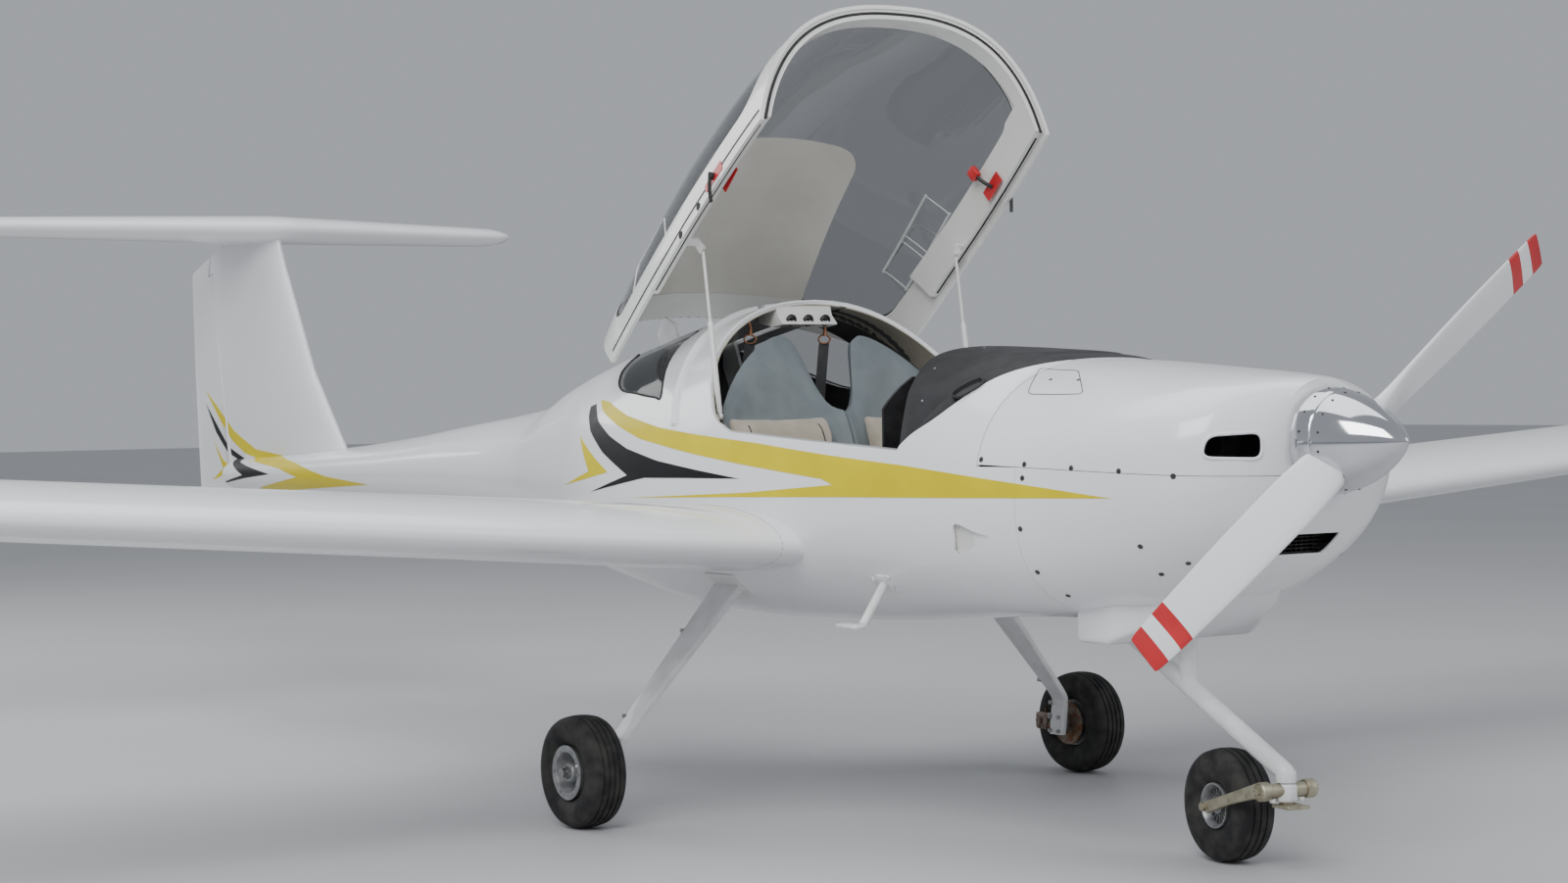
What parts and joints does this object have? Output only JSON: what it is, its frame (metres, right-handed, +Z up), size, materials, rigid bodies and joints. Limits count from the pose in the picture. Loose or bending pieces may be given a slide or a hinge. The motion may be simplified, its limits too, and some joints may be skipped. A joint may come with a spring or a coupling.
{
  "type": "two-seat light aircraft",
  "caption": "Low-wing, T-tailed light aircraft on tricycle undercarriage, with a raised bubble canopy, propeller, castering nosewheel and hinged control surfaces.",
  "frame": {"origin": "on the ground, below the middle of the overall length and width", "axes": "+X forward towards the spinner, +Y to the left wing, +Z up"},
  "size_m": [7.16, 10.87, 2.4137],
  "materials": {
    "white_paint": "glossy white paint on moulded composite",
    "frame_paint": "cream-white painted composite frame",
    "blade_paint": "white paint with red bands at the tips",
    "gear_paint": "white painted steel",
    "engine_metal": "plain cast block",
    "polished_metal": "polished spinner",
    "bare_steel": "plain steel",
    "wheel_alloy": "dull cast wheel",
    "fork_alloy": "dull olive-gold cast arms",
    "tyre_rubber": "worn black rubber with ribs",
    "tinted_glass": "lightly tinted clear plastic",
    "black_vinyl": "matt black covering",
    "beige_trim": "beige lining",
    "seat_shell": "grey-blue moulded shell",
    "cushion_cloth": "beige upholstery"
  },
  "bodies": {
    "airframe": {"fuselage": "white_paint", "cowl_upper": "white_paint", "cowl_lower": "white_paint", "engine": "engine_metal", "glareshield": "black_vinyl", "instrument_panel": "black_vinyl", "centre_console": "beige_trim", "overhead_panel": "white_paint", "hinge_tube": "bare_steel", "ventral_fin": "white_paint", "wing_left": "white_paint", "wing_right": "white_paint", "main_leg_left": "gear_paint", "main_leg_right": "gear_paint", "brake_left": "bare_steel", "brake_right": "bare_steel", "seat_left": "seat_shell", "seat_right": "seat_shell", "cushion_left": "cushion_cloth", "cushion_right": "cushion_cloth", "stick_left": "black_vinyl", "stick_right": "black_vinyl", "rear_window_left": "tinted_glass", "rear_window_right": "tinted_glass", "step_left": "gear_paint", "step_right": "gear_paint", "fin": "white_paint", "tailplane": "white_paint", "nose_leg": "gear_paint", "nose_strut": "gear_paint"},
    "propeller_group": {"spinner": "polished_metal", "propeller": "blade_paint"},
    "canopy": {"canopy_frame": "frame_paint", "canopy_glass": "tinted_glass", "canopy_roof": "white_paint", "hinge_arm_left": "gear_paint", "hinge_arm_right": "gear_paint"},
    "flap_l": {"flap_left": "white_paint"},
    "flap_r": {"flap_right": "white_paint"},
    "aileron_l": {"aileron_left": "white_paint"},
    "aileron_r": {"aileron_right": "white_paint"},
    "rudder_body": {"rudder": "white_paint"},
    "elevator_body": {"elevator": "white_paint"},
    "main_wheel_left": {"main_hub_left": "wheel_alloy", "main_tyre_left": "tyre_rubber"},
    "main_wheel_right": {"main_hub_right": "wheel_alloy", "main_tyre_right": "tyre_rubber"},
    "castor": {"castor_fork": "fork_alloy"},
    "nose_wheel": {"nose_hub": "wheel_alloy", "nose_tyre": "tyre_rubber"},
    "strut_tube_l": {"strut_tube_left": "gear_paint"},
    "strut_tube_r": {"strut_tube_right": "gear_paint"},
    "strut_rod_l": {"strut_rod_left": "bare_steel"},
    "strut_rod_r": {"strut_rod_right": "bare_steel"}
  },
  "joints": [
    {"name": "propeller_spin", "type": "hinge", "parent": "airframe", "child": "propeller_group", "pos_m": [3.392, 0, 1.121], "axis": [1, 0, 0], "continuous": true},
    {"name": "main_wheel_left_spin", "type": "hinge", "parent": "airframe", "child": "main_wheel_left", "pos_m": [1.253, 0.9595, 0.164], "axis": [0, 1, 0], "continuous": true},
    {"name": "main_wheel_right_spin", "type": "hinge", "parent": "airframe", "child": "main_wheel_right", "pos_m": [1.253, -0.9595, 0.164], "axis": [0, 1, 0], "continuous": true},
    {"name": "nose_castor", "type": "hinge", "parent": "airframe", "child": "castor", "pos_m": [3.15, 0, 0.226], "axis": [0, 0, 1], "range_deg": [-50, 70]},
    {"name": "nose_wheel_spin", "type": "hinge", "parent": "castor", "child": "nose_wheel", "pos_m": [2.89198, 0.0455, 0.151], "axis": [0.1736, 0.9848, 0], "continuous": true},
    {"name": "canopy_hinge", "type": "hinge", "parent": "airframe", "child": "canopy", "pos_m": [0.732, 0, 0.843], "axis": [0, 1, 0], "range_deg": [0, 44.5]},
    {"name": "rudder_hinge", "type": "hinge", "parent": "airframe", "child": "rudder_body", "pos_m": [-3.125, 0, 0.868], "axis": [-0.2109, 0, 0.9775], "range_deg": [-27, 27]},
    {"name": "elevator_hinge", "type": "hinge", "parent": "airframe", "child": "elevator_body", "pos_m": [-3.205, 0, 1.97], "axis": [0, 1, 0], "range_deg": [-15, 25]},
    {"name": "flap_left_hinge", "type": "hinge", "parent": "airframe", "child": "flap_l", "pos_m": [0.8365, 0.66, 0.80855], "axis": [0.0536, 0.9957, 0.0759], "range_deg": [-45, 0]},
    {"name": "flap_right_hinge", "type": "hinge", "parent": "airframe", "child": "flap_r", "pos_m": [0.8365, -0.66, 0.80855], "axis": [-0.0536, 0.9957, -0.0759], "range_deg": [-45, 0]},
    {"name": "aileron_left_hinge", "type": "hinge", "parent": "airframe", "child": "aileron_l", "pos_m": [0.91817, 2.6, 0.95414], "axis": [0.0799, 0.9937, 0.0782], "range_deg": [-20, 20]},
    {"name": "aileron_right_hinge", "type": "hinge", "parent": "airframe", "child": "aileron_r", "pos_m": [0.91817, -2.6, 0.95414], "axis": [-0.0799, 0.9937, -0.0782], "range_deg": [-20, 20]},
    {"name": "strut_tube_left_hinge", "type": "hinge", "parent": "airframe", "child": "strut_tube_l", "pos_m": [1.29, 0.486, 1.19], "axis": [0, 1, 0], "range_deg": [0, 110]},
    {"name": "strut_tube_right_hinge", "type": "hinge", "parent": "airframe", "child": "strut_tube_r", "pos_m": [1.29, -0.486, 1.19], "axis": [0, 1, 0], "range_deg": [0, 110]},
    {"name": "strut_rod_left_slide", "type": "slide", "parent": "strut_tube_l", "child": "strut_rod_l", "axis": [-0.1575, 0, 0.9875], "range_m": [-0.127, 0]},
    {"name": "strut_rod_right_slide", "type": "slide", "parent": "strut_tube_r", "child": "strut_rod_r", "axis": [-0.1575, 0, 0.9875], "range_m": [-0.127, 0]}
  ],
  "couplings": [
    {"joint": "flap_right_hinge", "follows": "flap_left_hinge", "ratio": 1},
    {"joint": "aileron_right_hinge", "follows": "aileron_left_hinge", "ratio": -1},
    {"joint": "strut_tube_left_hinge", "follows": "canopy_hinge", "ratio": 2.4646},
    {"joint": "strut_tube_right_hinge", "follows": "canopy_hinge", "ratio": 2.4646},
    {"joint": "strut_rod_left_slide", "follows": "canopy_hinge", "m_per_rad": -0.16259},
    {"joint": "strut_rod_right_slide", "follows": "canopy_hinge", "m_per_rad": -0.16259}
  ]
}
